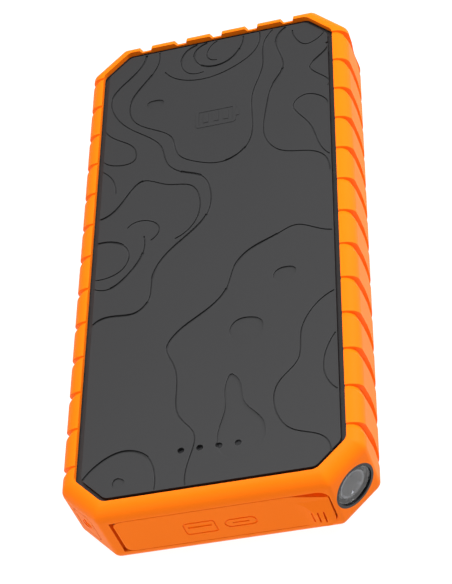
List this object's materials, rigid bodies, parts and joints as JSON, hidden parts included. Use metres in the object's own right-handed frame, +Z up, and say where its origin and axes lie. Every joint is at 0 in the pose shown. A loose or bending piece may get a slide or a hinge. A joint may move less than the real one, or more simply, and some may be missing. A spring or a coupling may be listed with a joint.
{
  "type": "power bank",
  "caption": "Rugged rectangular power bank in a grooved rubber bumper, with a hinged port flap, a corner torch, a corner button and a contour-relief top.",
  "frame": {"origin": "centre of the footprint on the surface it rests on", "axes": "+X to the right seen from the port face, +Y from the port face to the back, +Z up out of the relief top"},
  "size_m": [0.0784, 0.1691, 0.0225],
  "materials": {
    "orange_rubber": "satin moulded rubber",
    "black_case": "fine-textured moulded plastic",
    "seal_rubber": "soft seal",
    "steel_zinc": "zinc plated",
    "pin_black": "blackened steel",
    "cell_foil": "laminated pouch foil",
    "nickel": "nickel strip",
    "adhesive_pad": "thin sheet",
    "foam": "foam",
    "circuit_green": "solder mask",
    "board_white": "white solder mask",
    "chip_black": "moulded package",
    "port_steel": "folded plated steel",
    "tongue_plastic": "moulded plastic",
    "ferrite": "pressed ferrite",
    "can_aluminium": "drawn can",
    "ceramic_tan": "ceramic with plated ends",
    "connector_white": "moulded plastic",
    "wire_red": "insulated wire",
    "wire_black": "insulated wire",
    "led_white": "small lamp",
    "led_yellow": "lamp with phosphor",
    "smoked_guide": "smoked clear plastic",
    "ribbon_amber": "flat film cable",
    "torch_black": "black moulded ring",
    "clear_lens": "clear cover",
    "reflector_chrome": "plated cone",
    "plunger_plastic": "moulded plastic"
  },
  "bodies": {
    "body": {"battery_socket": "connector_white", "battery_wire_minus": "wire_black", "battery_wire_plus": "wire_red", "board_screws": "steel_zinc", "bumper": "orange_rubber", "can_capacitors": "can_aluminium", "case_gasket": "seal_rubber", "case_screws": "steel_zinc", "cell_foam": "foam", "cell_pad": "adhesive_pad", "cell_tabs": "nickel", "chip_capacitors": "ceramic_tan", "control_chips": "chip_black", "floor_sheet": "adhesive_pad", "indicator_board": "circuit_green", "indicator_leds": "led_white", "indicator_ribbon": "ribbon_amber", "light_guide": "smoked_guide", "lower_case": "black_case", "lower_cell": "cell_foil", "main_board": "circuit_green", "pack_board": "circuit_green", "pack_switches": "chip_black", "power_coils": "ferrite", "slim_port_shell": "port_steel", "slim_port_tongue": "tongue_plastic", "switch_board": "circuit_green", "switch_body": "chip_black", "switch_wires": "wire_black", "top_cover": "black_case", "top_foam": "foam", "torch_board": "board_white", "torch_housing": "torch_black", "torch_led": "led_yellow", "torch_lens": "clear_lens", "torch_reflector": "reflector_chrome", "torch_wires": "wire_red", "upper_cell": "cell_foil", "wide_port_shells": "port_steel", "wide_port_tongues": "tongue_plastic"},
    "flap": {"port_flap": "orange_rubber", "flap_pin": "pin_black"},
    "button": {"power_button": "orange_rubber", "switch_plunger": "plunger_plastic"}
  },
  "joints": [
    {"name": "flap_hinge", "type": "hinge", "parent": "body", "child": "flap", "pos_m": [-0.02565, -0.08325, 0.0111], "axis": [0, 0, -1], "range_deg": [0, 100]},
    {"name": "button_press", "type": "slide", "parent": "body", "child": "button", "axis": [0.7071, 0.7071, 0], "range_m": [0, 0.0005], "stiffness_N_per_m": 1500}
  ]
}
